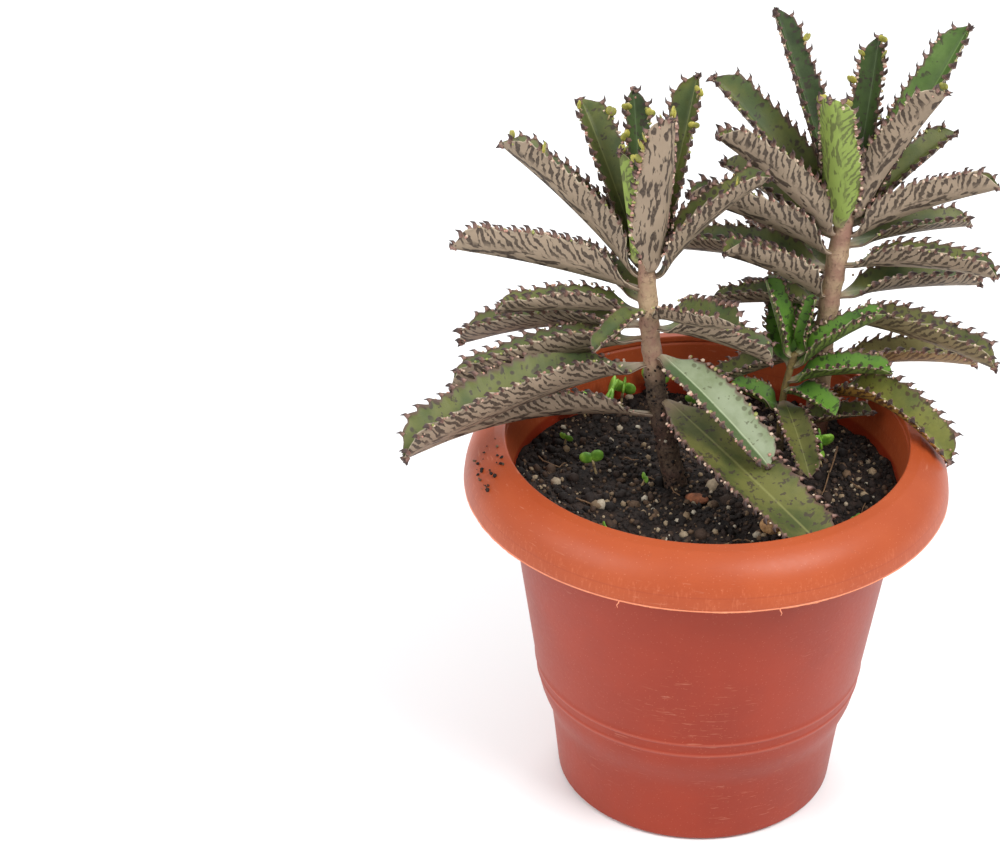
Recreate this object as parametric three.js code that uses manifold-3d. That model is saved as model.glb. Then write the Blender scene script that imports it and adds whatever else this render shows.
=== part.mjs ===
// A kalanchoe with toothed, boat-shaped leaves, in a moulded flower pot with a rolled rim.
// Millimetres, +Z up. The origin is the middle of the flat underside of the pot.
import * as THREE from 'three';
import { mergeVertices } from 'three/addons/utils/BufferGeometryUtils.js';
import Module from 'manifold-3d';

const wasm = await Module();
wasm.setup();

// ---- Driving dimensions ----

const GAP = 0.3; // clearance between pieces that touch

// Pot: radii and heights of its outside, from the base up
const WALL = 2;
const BASE_RADIUS = 59;
const BASE_EDGE = 1.5;
const WAIST_RADIUS = 62;
const WAIST_HEIGHT = 28;
const SHOULDER_RADIUS = 68.5;
const SHOULDER_HEIGHT = 50;
const BEAD_WIDTH = 2;
const BEAD_RAISE = 0.6;
const BEAD_PITCH = 6;
const MOUTH_RADIUS = 83.2; // inner edge of the rim, at the top of the pot
const POT_HEIGHT = 165;
const RIM_RADIUS = 100; // outermost edge of the rolled rim
const RIM_DROP = 20; // from the top of the rim down to its outer edge
const DRAIN_COUNT = 6;
const DRAIN_RADIUS = 4;
const DRAIN_CIRCLE = 38;
const POT_SIDES = 48;

// Potting mix
const SOIL_BELOW_TOP = 23; // mean level of the mix under the top of the rim
const SOIL_TILT = 3; // the mix is this much higher in front, and lower behind
const SOIL_LUMPS = 1.4;
const PLANTING_DEPTH = 24; // how deep the stems are planted

// Leaves
const KEEL_THICKNESS = 2.4;
const PETIOLE_HALF_WIDTH = 2.3;
const PETIOLE_SHARE = 0.05; // share of a leaf's length that is bare stalk

// Stems: where each leaves the mix, where its top is, how tall it is and its two radii
const STEMS = {
  left: { foot: [-12, -3], top: [-27, 0], height: 104, footRadius: 5.2, topRadius: 3.6, bow: -3 },
  right: { foot: [46, 44], top: [53, 46], height: 106, footRadius: 5.2, topRadius: 4.2, bow: -2 },
  shoot: { foot: [31, 30], top: [35, 33], height: 44, footRadius: 1.6, topRadius: 1.6, bow: -2 },
};

// Leaves of each stem. at: height on the stem above the mix; turn: compass direction, 0 toward +X
// and 90 toward +Y; rise: slope of the line from its foot to its tip; length and width in
// millimetres; arch: how much it bends down along its length; fold: how far each half is folded
// up; roll: how far it is turned about its own length.
const COLUMNS = ['at', 'turn', 'rise', 'length', 'width', 'arch', 'fold', 'roll'];
const LEAVES = {
  left: [
    [33, 197, -5, 102, 22, 34, 52, 25],
    [40, -42, -19, 93, 32, 4, 16, 0],
    [60, -32, -32, 62, 24, 12, 30, 0],
    [56, 208, -11, 106, 36, 16, 52, 10],
    [67, 188, -16, 79, 26, 10, 54, 15],
    [72, 160, -19, 84, 25, 22, 50, 0],
    [72, -10, -12, 47, 22, 20, 54, -10],
    [79, 183, -2, 57, 20, 14, 54, 10],
    [80, -50, 18, 54, 22, -16, 50, 0],
    [81, 236, -10, 32, 14, 10, 50, 0],
    [83, 138, 10, 42, 16, 8, 45, 0],
    [89, 176, 9, 76, 28, 10, 56, 30],
    [95, 168, 41, 75, 27, 12, 52, 24],
    [95, 8, 44, 60, 24, 24, 46, -8],
    [98, 130, 54, 70, 22, 10, 42, -2],
    [100, 56, 70, 76, 21, -10, 45, 0],
    [103, 112, 76, 66, 15, 6, 40, 0],
    [103, 214, 80, 50, 12, 0, 40, 0],
    [100, -64, 80, 72, 22, -8, 40, 10],
  ],
  right: [
    [21, -42, -5, 66, 24, 62, 48, 0],
    [31, 2, 3, 60, 21, 24, 52, 0],
    [38, 183, -23, 44, 18, 8, 48, -3],
    [58, 126, -17, 49, 20, 14, 48, 0],
    [65, 12, 1, 60, 22, 14, 52, 0],
    [56, -17, -9, 68, 24, 16, 52, -10],
    [61, 168, -10, 46, 18, 14, 48, 4],
    [67, 213, 32, 58, 23, 14, 52, 10],
    [74, 126, 0, 55, 18, 14, 48, -3],
    [77, 163, -3, 71, 25, 10, 54, 0],
    [80, -14, 4, 62, 24, 18, 46, -15],
    [86, 196, 27, 68, 25, 12, 52, 20],
    [88, 20, 2, 54, 20, 14, 48, 0],
    [92, 150, 18, 56, 20, 12, 48, -10],
    [94, -12, 27, 64, 25, 14, 54, -25],
    [95, 204, 44, 73, 25, 10, 52, 25],
    [98, 27, 36, 55, 20, 15, 48, 10],
    [104, -30, 61, 72, 24, 10, 50, -20],
    [100, 164, 45, 76, 24, 8, 44, -16],
    [104, 146, 66, 86, 18, 6, 44, -10],
    [100, -118, 76, 64, 22, -8, 38, 0],
    [107, 65, 77, 68, 17, -6, 40, 0],
    [103, 30, 57, 87, 22, -8, 42, 11],
    [106, 230, 84, 48, 11, 0, 36, 0],
  ],
  shoot: [
    [8, 5, 12, 38, 15, 20, 40, 0],
    [22, -75, -15, 44, 16, 20, 35, 0],
    [18, 165, 17, 22, 15, 20, 40, 0],
    [28, -42, -4, 26, 16, 20, 40, 0],
    [32, -14, 14, 43, 19, 20, 45, 0],
    [38, 95, 38, 30, 24, 8, 28, -1],
    [39, -2, 36, 44, 18, 17, 45, 0],
    [44, 40, 76, 26, 10, 0, 45, 0],
    [43, 150, 68, 34, 18, 0, 35, 10],
  ],
};

// Stones that lie in the mix: place, half sizes, turn about +Z
const STONES = {
  pebble: { place: [28, -38], half: [5.6, 4.2, 3.8], turn: 20 },
  chip: { place: [-3, -14], half: [5, 3.4, 1.6], turn: -15 },
};

// ---- Geometry helpers ----

const radians = THREE.MathUtils.degToRad;
const smooth = (from, to, x) => THREE.MathUtils.smoothstep(x, from, to);

/** A closed body from rings of points, each ring capped by the pole before or after it. */
function loft(firstPole, rings, lastPole) {
  const count = rings[0].length;
  const positions = [firstPole, ...rings.flat(), lastPole].flatMap((point) => point.toArray());
  const index = [];
  const at = (ring, side) => 1 + ring * count + (side % count);
  const last = 1 + rings.length * count;
  for (let side = 0; side < count; side++) {
    index.push(0, at(0, side + 1), at(0, side));
    for (let ring = 0; ring < rings.length - 1; ring++) {
      index.push(at(ring, side), at(ring, side + 1), at(ring + 1, side));
      index.push(at(ring, side + 1), at(ring + 1, side + 1), at(ring + 1, side));
    }
    index.push(last, at(rings.length - 1, side), at(rings.length - 1, side + 1));
  }
  const geometry = new THREE.BufferGeometry();
  geometry.setAttribute('position', new THREE.Float32BufferAttribute(positions, 3));
  geometry.setIndex(index);
  return geometry;
}

/** A circle of points around a centre, in the plane of two directions. */
function circle(centre, radius, sides, across, up) {
  return Array.from({ length: sides }, (_, side) => {
    const angle = (side / sides) * Math.PI * 2;
    return centre
      .clone()
      .addScaledVector(across, radius * Math.cos(angle))
      .addScaledVector(up, radius * Math.sin(angle));
  });
}

function toSolid(geometry) {
  const bare = geometry.clone();
  bare.deleteAttribute('normal');
  bare.deleteAttribute('uv');
  const merged = mergeVertices(bare, 1e-5);
  return new wasm.Manifold(
    new wasm.Mesh({
      numProp: 3,
      vertProperties: new Float32Array(merged.attributes.position.array),
      triVerts: new Uint32Array(merged.index.array),
    }),
  );
}

function toGeometry(solid) {
  const mesh = solid.getMesh();
  const geometry = new THREE.BufferGeometry();
  geometry.setAttribute('position', new THREE.BufferAttribute(mesh.vertProperties, 3));
  geometry.setIndex(new THREE.BufferAttribute(mesh.triVerts, 1));
  return geometry;
}

/** One solid cut by others. */
function cut(geometry, cutters) {
  const solid = cutters.reduce((rest, cutter) => rest.subtract(toSolid(cutter)), toSolid(geometry));
  return toGeometry(solid);
}

// ---- Pot ----

/** Outer radius of the pot wall at a height, leaving out the beads and the rim. */
function wallRadius(height) {
  if (height <= WAIST_HEIGHT) {
    return THREE.MathUtils.mapLinear(height, 0, WAIST_HEIGHT, BASE_RADIUS, WAIST_RADIUS);
  }
  if (height <= SHOULDER_HEIGHT) {
    const share = smooth(WAIST_HEIGHT, SHOULDER_HEIGHT, height);
    return THREE.MathUtils.lerp(WAIST_RADIUS, SHOULDER_RADIUS, share);
  }
  const top = MOUTH_RADIUS + WALL;
  return THREE.MathUtils.mapLinear(height, SHOULDER_HEIGHT, POT_HEIGHT, SHOULDER_RADIUS, top);
}

const insideRadius = (height) => wallRadius(height) - WALL;

const RIM_SEAM = POT_HEIGHT - WALL;
const RIM_STEPS = 6;

/** A profile being drawn: add takes a radius and a height, addWall a height on the outside wall. */
function startProfile() {
  const points = [];
  const add = (radius, height) => points.push(new THREE.Vector2(radius, height));
  const addWall = (height) => add(wallRadius(height), height);
  return { points, add, addWall };
}

/** Floor and wall, up to the seam where the rolled rim starts. */
function wallProfile() {
  const { points, add, addWall } = startProfile();

  // Underside and lower body
  add(0, 0);
  add(BASE_RADIUS - BASE_EDGE, 0);
  addWall(BASE_EDGE);
  const step = (SHOULDER_HEIGHT - WAIST_HEIGHT) / 4;
  for (let level = 0; level <= 4; level++) {
    addWall(WAIST_HEIGHT + level * step);
  }

  // Two thin raised lines
  for (let bead = 0; bead < 2; bead++) {
    const middle = SHOULDER_HEIGHT + BEAD_WIDTH + bead * BEAD_PITCH;
    addWall(middle - BEAD_WIDTH / 2);
    add(wallRadius(middle) + BEAD_RAISE, middle);
    addWall(middle + BEAD_WIDTH / 2);
  }

  // Seam, inside wall and floor
  addWall(RIM_SEAM);
  add(insideRadius(RIM_SEAM), RIM_SEAM);
  add(insideRadius(SHOULDER_HEIGHT), SHOULDER_HEIGHT);
  add(insideRadius(WAIST_HEIGHT), WAIST_HEIGHT);
  add(insideRadius(WALL), WALL);
  add(0, WALL);
  return points;
}

/** The rolled rim, hollow underneath: a quarter of an ellipse inside, then one outside. */
function rimProfile() {
  const { points, add, addWall } = startProfile();
  const bottom = POT_HEIGHT - RIM_DROP;
  const root = wallRadius(RIM_SEAM) + BASE_EDGE;
  addWall(RIM_SEAM);
  for (let part = 0; part <= RIM_STEPS; part++) {
    const angle = (Math.PI / 2) * (1 - part / RIM_STEPS);
    const across = (RIM_RADIUS - WALL - root) * Math.cos(angle);
    add(root + across, bottom + (RIM_DROP - WALL) * Math.sin(angle));
  }
  for (let part = 0; part <= RIM_STEPS; part++) {
    const angle = (Math.PI / 2) * (part / RIM_STEPS);
    const across = (RIM_RADIUS - MOUTH_RADIUS) * Math.cos(angle);
    add(MOUTH_RADIUS + across, bottom + RIM_DROP * Math.sin(angle));
  }
  add(insideRadius(RIM_SEAM), RIM_SEAM);
  addWall(RIM_SEAM);
  return points;
}

const lathe = (profile) => new THREE.LatheGeometry(profile, POT_SIDES).rotateX(Math.PI / 2);

function potGeometry() {
  const drains = Array.from({ length: DRAIN_COUNT }, (_, hole) => {
    const angle = (hole / DRAIN_COUNT) * Math.PI * 2;
    return new THREE.CylinderGeometry(DRAIN_RADIUS, DRAIN_RADIUS, WALL * 3, 12)
      .rotateX(Math.PI / 2)
      .translate(DRAIN_CIRCLE * Math.cos(angle), DRAIN_CIRCLE * Math.sin(angle), 0);
  });
  return cut(lathe(wallProfile()), drains);
}

// ---- Potting mix ----

const soilLevel = POT_HEIGHT - SOIL_BELOW_TOP;

/** Height of the surface of the mix at a place: a slope to the front with low lumps. */
function soilHeight(x, y) {
  const tilt = (-y / MOUTH_RADIUS) * SOIL_TILT;
  const lumps = Math.sin(x * 0.21 + 1) * Math.cos(y * 0.17) + 0.6 * Math.sin(x * 0.09 - y * 0.31);
  return soilLevel + tilt + SOIL_LUMPS * lumps;
}

function soilGeometry(cutters) {
  const ring = (radius, height) =>
    Array.from({ length: POT_SIDES }, (_, side) => {
      const angle = (side / POT_SIDES) * Math.PI * 2;
      const x = Math.cos(angle) * radius;
      const y = Math.sin(angle) * radius;
      return new THREE.Vector3(x, y, height ?? soilHeight(x, y));
    });
  const floor = WALL + GAP;
  const sides = [floor, WAIST_HEIGHT, SHOULDER_HEIGHT].map((height) =>
    ring(insideRadius(height) - GAP, height),
  );
  const edge = insideRadius(soilLevel - SOIL_TILT - 2 * SOIL_LUMPS) - GAP;
  const surface = [1, 0.86, 0.7, 0.54, 0.38, 0.2].map((share) => ring(edge * share));
  const bottom = new THREE.Vector3(0, 0, floor);
  const middle = new THREE.Vector3(0, 0, soilHeight(0, 0));
  return cut(loft(bottom, [...sides, ...surface], middle), cutters);
}

// ---- Stems ----

/** Centre line of a stem, from where it leaves the mix (0) to its top (1). */
function stemCentre(stem, share) {
  const [x, y] = stem.foot.map((foot, axis) => THREE.MathUtils.lerp(foot, stem.top[axis], share));
  const bow = stem.bow * Math.sin(Math.PI * Math.max(share, 0));
  return new THREE.Vector3(x + bow, y, soilLevel + stem.height * share);
}

const stemRadius = (stem, share) =>
  THREE.MathUtils.lerp(stem.footRadius, stem.topRadius, THREE.MathUtils.clamp(share, 0, 1));

function stemGeometry(stem, clearance) {
  const across = new THREE.Vector3(1, 0, 0);
  const up = new THREE.Vector3(0, 1, 0);
  const buried = -PLANTING_DEPTH / stem.height;
  const shares = [buried, 0, 0.2, 0.4, 0.6, 0.8, 1];
  const rings = shares.map((share) =>
    circle(stemCentre(stem, share), stemRadius(stem, share) + clearance, 10, across, up),
  );
  const lift = new THREE.Vector3(0, 0, clearance);
  rings[0].forEach((point) => point.sub(lift));
  const first = stemCentre(stem, buried).sub(lift);
  const last = stemCentre(stem, 1).add(new THREE.Vector3(0, 0, stem.topRadius / 2 + clearance));
  return loft(first, rings, last);
}

// ---- Leaves ----

const LEAF_RINGS = [0, 0.08, 0.18, 0.32, 0.48, 0.64, 0.79, 0.92];

/** Half width of a leaf at a share of its length: a bare stalk, then a lance-shaped blade. */
function leafHalfWidth(leaf, share) {
  const along = Math.max(0, (share - PETIOLE_SHARE) / (1 - PETIOLE_SHARE));
  const blade = (1 - Math.abs(2 * along ** 0.9 - 1) ** 2.8) ** 0.75;
  const stalk = PETIOLE_HALF_WIDTH * (1 - 0.8 * along ** 3);
  return stalk + Math.max(0, leaf.width / 2 - PETIOLE_HALF_WIDTH) * blade;
}

/** A boat-shaped leaf: each ring folds both halves of the blade up from the keel. */
function leafGeometry(stem, leaf) {
  const turn = radians(leaf.turn);
  const rise = radians(leaf.rise);
  const outward = new THREE.Vector3(Math.cos(turn), Math.sin(turn), 0);
  const vertical = new THREE.Vector3(0, 0, 1);
  const chord = outward.clone().multiplyScalar(Math.cos(rise)).addScaledVector(vertical, Math.sin(rise));
  const across = new THREE.Vector3().crossVectors(vertical, outward);
  const upper = new THREE.Vector3().crossVectors(chord, across).normalize();
  across.applyAxisAngle(chord, radians(leaf.roll));
  upper.applyAxisAngle(chord, radians(leaf.roll));

  const share = leaf.at / stem.height;
  const lean = (KEEL_THICKNESS / 2) * Math.abs(Math.sin(rise));
  const standoff = stemRadius(stem, share) + GAP + lean;
  const foot = stemCentre(stem, share).addScaledVector(outward, standoff);
  const sag = Math.tan(radians(leaf.arch) / 2) / 4;

  const middle = (s) =>
    foot
      .clone()
      .addScaledVector(chord, leaf.length * s)
      .addScaledVector(upper, leaf.length * sag * 4 * s * (1 - s));
  const slope = (s) => chord.clone().addScaledVector(upper, sag * 4 * (1 - 2 * s)).normalize();

  const rings = LEAF_RINGS.map((s) => {
    const half = leafHalfWidth(leaf, s);
    const fold = radians(leaf.fold) * smooth(0, 0.25, s);
    const thick = KEEL_THICKNESS * (1 - 0.55 * s);
    const up = new THREE.Vector3().crossVectors(slope(s), across);
    const point = (part, lift) =>
      middle(s)
        .addScaledVector(across, half * part * Math.cos(fold))
        .addScaledVector(up, half * Math.abs(part) * Math.sin(fold) + lift);
    return [
      point(-1, 0),
      point(-0.55, -thick * 0.36),
      point(0, -thick / 2),
      point(0.55, -thick * 0.36),
      point(1, 0),
      point(0.55, thick * 0.36),
      point(0, thick / 2),
      point(-0.55, thick * 0.36),
    ];
  });
  return loft(middle(0), rings, middle(1));
}

// ---- Stones ----

function stoneGeometry(stone, clearance) {
  const [x, y] = stone.place;
  const [a, b, c] = stone.half;
  const rough = new THREE.IcosahedronGeometry(1, 1);
  rough.scale(a + clearance, b + clearance, c + clearance);
  rough.rotateZ(radians(stone.turn));
  rough.translate(x, y, soilHeight(x, y) + c * 0.35);
  return rough;
}

// ---- Assembly ----

const material = (color, roughness) =>
  new THREE.MeshStandardMaterial({ color, roughness, metalness: 0 });

const MATERIALS = {
  pot: material('#b4543a', 0.55),
  soil: material('#241a14', 0.95),
  stem: material('#8a6a5a', 0.75),
  leaf: material('#6f7a45', 0.5),
  stone: material('#b08a5e', 0.85),
};

const plant = new THREE.Group();

function addPiece(name, geometry, slot) {
  const mesh = new THREE.Mesh(geometry, MATERIALS[slot]);
  mesh.name = name;
  plant.add(mesh);
}

addPiece('pot', potGeometry(), 'pot');
addPiece('pot_rim', cut(lathe(rimProfile()), []), 'pot');

const sockets = [
  ...Object.values(STEMS).map((stem) => stemGeometry(stem, GAP)),
  ...Object.values(STONES).map((stone) => stoneGeometry(stone, GAP)),
];
addPiece('soil', soilGeometry(sockets), 'soil');

for (const [name, stem] of Object.entries(STEMS)) {
  addPiece(`stem_${name}`, stemGeometry(stem, 0), 'stem');
  LEAVES[name].forEach((row, order) => {
    const leaf = Object.fromEntries(COLUMNS.map((column, place) => [column, row[place]]));
    const number = String(order + 1).padStart(2, '0');
    addPiece(`leaf_${name}_${number}`, leafGeometry(stem, leaf), 'leaf');
  });
}

for (const [name, stone] of Object.entries(STONES)) {
  addPiece(name, stoneGeometry(stone, 0), 'stone');
}

export default plant;
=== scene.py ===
import math
import random

import bmesh
import bpy
from mathutils import Matrix, Vector, noise
from mathutils.bvhtree import BVHTree


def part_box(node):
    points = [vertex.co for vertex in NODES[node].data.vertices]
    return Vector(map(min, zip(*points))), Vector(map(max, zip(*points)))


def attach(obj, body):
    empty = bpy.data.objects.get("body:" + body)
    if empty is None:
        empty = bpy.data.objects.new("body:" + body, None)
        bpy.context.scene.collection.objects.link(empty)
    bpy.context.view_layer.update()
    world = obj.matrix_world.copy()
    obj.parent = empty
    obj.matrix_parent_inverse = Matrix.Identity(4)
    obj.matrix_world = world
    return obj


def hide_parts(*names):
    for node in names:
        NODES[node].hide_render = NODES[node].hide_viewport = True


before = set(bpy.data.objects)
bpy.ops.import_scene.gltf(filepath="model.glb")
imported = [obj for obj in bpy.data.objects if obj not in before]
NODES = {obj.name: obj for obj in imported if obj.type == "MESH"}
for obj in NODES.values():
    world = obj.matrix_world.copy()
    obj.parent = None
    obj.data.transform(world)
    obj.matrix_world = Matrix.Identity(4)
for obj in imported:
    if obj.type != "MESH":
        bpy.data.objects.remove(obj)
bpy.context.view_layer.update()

bl_info = {
    "name": "Potted Kalanchoe",
    "version": (1, 0, 0),
    "blender": (4, 5, 0),
    "location": "View3D > Sidebar > Kalanchoe",
    "description": "Toothed, mottled leaves, stems, potting mix and a rolled-rim pot on one fixed frame",
    "category": "Add Mesh",
}

MM = 0.001
BODY = "root"
UP = Vector((0, 0, 1))
PLANTS = ("left", "right", "shoot")


# ---------------------------------------------------------------- shader expressions

class Signal:
    """A shader value that Python's operators work on; each operation adds a Math node."""

    def __init__(self, finish, socket):
        self.finish = finish
        self.socket = socket

    def math(self, operation, *others):
        return self.finish.node("ShaderNodeMath", {"operation": operation}, {
            place: value for place, value in enumerate((self, *others))})

    def __add__(self, other):
        return self.math("ADD", other)

    def __sub__(self, other):
        return self.math("SUBTRACT", other)

    def __rsub__(self, other):
        return self.finish.constant_first("SUBTRACT", other, self)

    def __mul__(self, other):
        return self.math("MULTIPLY", other)

    __radd__ = __add__
    __rmul__ = __mul__

    def __abs__(self):
        return self.math("ABSOLUTE")

    def __pow__(self, other):
        return self.math("POWER", other)


class Finish:
    """One procedural material on a Principled shader."""

    def __init__(self, name, **constants):
        self.material = bpy.data.materials.new(name)
        self.material.use_nodes = True
        self.tree = self.material.node_tree
        self.shader = self.tree.nodes["Principled BSDF"]
        for socket, value in constants.items():
            self.shader.inputs[socket.replace("_", " ")].default_value = value

    def node(self, kind, settings, inputs, output=0):
        """Any node: its settings are made first, then its sockets are filled or linked."""
        made = self.tree.nodes.new(kind)
        for name, value in settings.items():
            if name == "stops":
                self.fill_ramp(made.color_ramp, value)
            else:
                setattr(made, name, value)
        for name, value in inputs.items():
            self.fill(made.inputs[name], value)
        return Signal(self, made.outputs[output])

    def fill(self, socket, value):
        if isinstance(value, Signal):
            self.tree.links.new(value.socket, socket)
        elif isinstance(value, tuple) and len(value) == 3 and socket.type == "RGBA":
            socket.default_value = (*value, 1)
        else:
            socket.default_value = value

    @staticmethod
    def fill_ramp(ramp, stops):
        for place, (position, colour) in enumerate(stops):
            if place < 2:
                element = ramp.elements[place]
                element.position = position
            else:
                element = ramp.elements.new(position)
            element.color = (*colour, 1)

    def constant_first(self, operation, first, second):
        return self.node("ShaderNodeMath", {"operation": operation}, {0: first, 1: second})

    def place(self):
        return self.node("ShaderNodeTexCoord", {}, {}, "Object")

    def chart(self):
        return self.node("ShaderNodeUVMap", {"uv_map": "chart"}, {})

    def attribute(self, name):
        return self.node("ShaderNodeAttribute", {"attribute_name": name}, {}, "Fac")

    def split(self, vector):
        made = self.node("ShaderNodeSeparateXYZ", {}, {0: vector})
        return [Signal(self, socket) for socket in made.socket.node.outputs]

    def join(self, x, y, z):
        return self.node("ShaderNodeCombineXYZ", {}, {0: x, 1: y, 2: z})

    def noise(self, vector, scale, detail=2.0, roughness=0.5):
        return self.node("ShaderNodeTexNoise", {}, {
            "Vector": vector, "Scale": scale, "Detail": detail, "Roughness": roughness})

    def cells(self, vector, scale):
        return self.node("ShaderNodeTexVoronoi", {}, {"Vector": vector, "Scale": scale})

    def step(self, value, low, high):
        return self.node("ShaderNodeMapRange", {"interpolation_type": "SMOOTHSTEP"}, {
            "Value": value, "From Min": low, "From Max": high})

    def mix(self, factor, first, second, blend="MIX"):
        return self.node("ShaderNodeMix", {"data_type": "RGBA", "blend_type": blend}, {
            0: factor, 6: first, 7: second}, 2)

    def bump(self, height, depth, strength=1.0):
        return self.node("ShaderNodeBump", {}, {
            "Height": height, "Distance": depth, "Strength": strength})

    def finish(self, **links):
        for socket, value in links.items():
            self.fill(self.shader.inputs[socket.replace("_", " ")], value)
        return self.material


def srgb(red, green, blue):
    """A colour given as it looks on a screen, 0 to 255, as scene-linear light."""
    def linear(part):
        part /= 255
        return part / 12.92 if part <= 0.04045 else ((part + 0.055) / 1.055) ** 2.4
    return tuple(round(linear(part), 4) for part in (red, green, blue))


# ---------------------------------------------------------------- settings

class LeafSettings(bpy.types.PropertyGroup):
    tooth_spacing: bpy.props.FloatProperty(
        name="Tooth spacing", description="Distance between teeth along a large leaf's edge",
        default=5.2 * MM, unit="LENGTH")
    tooth_length: bpy.props.FloatProperty(
        name="Tooth length", description="How far a large leaf's teeth reach out",
        default=3.6 * MM, unit="LENGTH")
    upper: bpy.props.FloatVectorProperty(
        name="Upper side", description="Grey-green of a grown leaf's upper side",
        default=srgb(100, 104, 50), subtype="COLOR")
    under: bpy.props.FloatVectorProperty(
        name="Underside", description="Pale brown of a grown leaf's underside",
        default=srgb(150, 132, 112), subtype="COLOR")
    stripe: bpy.props.FloatVectorProperty(
        name="Stripes", description="Purple-brown of the underside's stripes",
        default=srgb(50, 39, 33), subtype="COLOR")


class PotSettings(bpy.types.PropertyGroup):
    rim: bpy.props.FloatVectorProperty(
        name="Rim", description="Orange terracotta plastic of the rolled rim",
        default=srgb(168, 76, 38), subtype="COLOR")
    body: bpy.props.FloatVectorProperty(
        name="Body", description="Duller red terracotta plastic below the rim",
        default=srgb(148, 48, 22), subtype="COLOR")
    sides: bpy.props.IntProperty(
        name="Sides", description="Steps round the pot before it is subdivided", default=72)


class SoilSettings(bpy.types.PropertyGroup):
    fine: bpy.props.IntProperty(name="Fine grains", description="Grains of about 1 mm", default=4200)
    medium: bpy.props.IntProperty(name="Crumbs", description="Crumbs of about 2 mm", default=1300)
    coarse: bpy.props.IntProperty(name="Lumps", description="Lumps of about 4 mm", default=150)


class StageSettings(bpy.types.PropertyGroup):
    ahead: bpy.props.FloatProperty(
        name="Distance", description="How far the camera stands in front of the pot",
        default=0.981, unit="LENGTH")
    height: bpy.props.FloatProperty(
        name="Height", description="How high the camera is held", default=0.749, unit="LENGTH")
    tilt: bpy.props.FloatProperty(
        name="Tilt", description="How far the camera looks down",
        default=math.radians(30.65), unit="ROTATION")
    turn: bpy.props.FloatProperty(
        name="Turn", description="How far the camera is turned to the left",
        default=math.radians(4.96), unit="ROTATION")
    lens: bpy.props.FloatProperty(
        name="Lens", description="Focal length in millimetres on a 36 mm sensor", default=100.0)


# ---------------------------------------------------------------- mesh helpers

def new_piece(name, bm, materials, replaced=(), smooth=True):
    """Turns a bmesh into a finished piece that rides on the plant's one body."""
    bmesh.ops.recalc_face_normals(bm, faces=bm.faces)
    mesh = bpy.data.meshes.new(name)
    bm.to_mesh(mesh)
    bm.free()
    for polygon in mesh.polygons:
        polygon.use_smooth = smooth
    piece = bpy.data.objects.new(name, mesh)
    bpy.context.scene.collection.objects.link(piece)
    for material in materials:
        mesh.materials.append(material)
    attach(piece, BODY)
    if replaced:
        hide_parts(*replaced)
    return piece


def merged_copy(node):
    """A CAD node's mesh with its loose triangles joined."""
    bm = bmesh.new()
    bm.from_mesh(NODES[node].data)
    bmesh.ops.remove_doubles(bm, verts=bm.verts, dist=0.003 * MM)
    return bm


def faces_of(verts):
    return {face for vert in verts for face in vert.link_faces}


def paint(verts, material, layer=None, tone=0.0):
    """Gives new faces their material slot, and their points a tone."""
    for face in faces_of(verts):
        face.material_index = material
    if layer is not None:
        for vert in verts:
            vert[layer] = tone


def frame_matrix(origin, along, up, size):
    """A matrix whose local Z runs along a direction, scaled by three sizes."""
    z = along.normalized()
    x = up.cross(z)
    x = x.normalized() if x.length > 1e-6 else z.orthogonal().normalized()
    y = z.cross(x)
    turn = Matrix((x, y, z)).transposed().to_4x4()
    return Matrix.Translation(origin) @ turn @ Matrix.Diagonal((*size, 1))


def blob(bm, matrix, subdivisions=1):
    return bmesh.ops.create_icosphere(bm, subdivisions=subdivisions, radius=1, matrix=matrix)["verts"]


def hermite(knots, values, x):
    """A smooth curve through values given at knots."""
    last = len(knots) - 2
    k = next((i for i in range(last) if x < knots[i + 1]), last)
    span = knots[k + 1] - knots[k]
    t = (x - knots[k]) / span

    def tangent(i):
        a, b = max(i - 1, 0), min(i + 1, len(knots) - 1)
        return (values[b] - values[a]) * (span / (knots[b] - knots[a]))

    t2, t3 = t * t, t * t * t
    return (values[k] * (2 * t3 - 3 * t2 + 1) + tangent(k) * (t3 - 2 * t2 + t)
            + values[k + 1] * (3 * t2 - 2 * t3) + tangent(k + 1) * (t3 - t2))


def ease(low, high, x):
    t = min(max((x - low) / (high - low), 0), 1)
    return t * t * (3 - 2 * t)


# ---------------------------------------------------------------- reading the frame

class Stem:
    """Centre line and radius of a CAD stem, read from its level rings of points."""

    def __init__(self, name):
        levels = {}
        bm = merged_copy("stem_" + name)
        for vert in bm.verts:
            levels.setdefault(round(vert.co.z / MM, 1), []).append(vert.co.copy())
        bm.free()
        rings = sorted((z, points) for z, points in levels.items() if len(points) > 3)
        self.knots = [z * MM for z, _ in rings]
        self.centres = [sum(points, Vector()) / len(points) for _, points in rings]
        self.radii = [max((point - centre).length for point in points)
                      for (_, points), centre in zip(rings, self.centres)]

    def centre(self, z):
        return hermite(self.knots, self.centres, z)

    def radius(self, z):
        return hermite(self.knots, self.radii, z)

    def distance(self, point):
        z = min(max(point.z, self.knots[0]), self.knots[-1])
        return (point - self.centre(z)).length


def ring_order(ring):
    """Points of one ring in order round it: by their joining edges, or by angle on a flat end."""
    members = set(ring)
    order = [ring[0]]
    while len(order) < len(ring):
        near = [edge.other_vert(order[-1]) for edge in order[-1].link_edges]
        near = [vert for vert in near if vert in members and vert not in order]
        if not near:
            break
        if len(near) > 1 and len(order) > 1:
            break
        order.append(near[0])
    if len(order) == len(ring):
        return [vert.co.copy() for vert in order]
    centre = sum((vert.co for vert in ring), Vector()) / len(ring)
    side = (ring[0].co - centre).normalized()
    face = max(((vert.co - centre).cross(side) for vert in ring), key=lambda v: v.length).normalized()
    other = face.cross(side)
    return sorted((vert.co.copy() for vert in ring),
                  key=lambda p: math.atan2((p - centre).dot(other), (p - centre).dot(side)))


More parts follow.
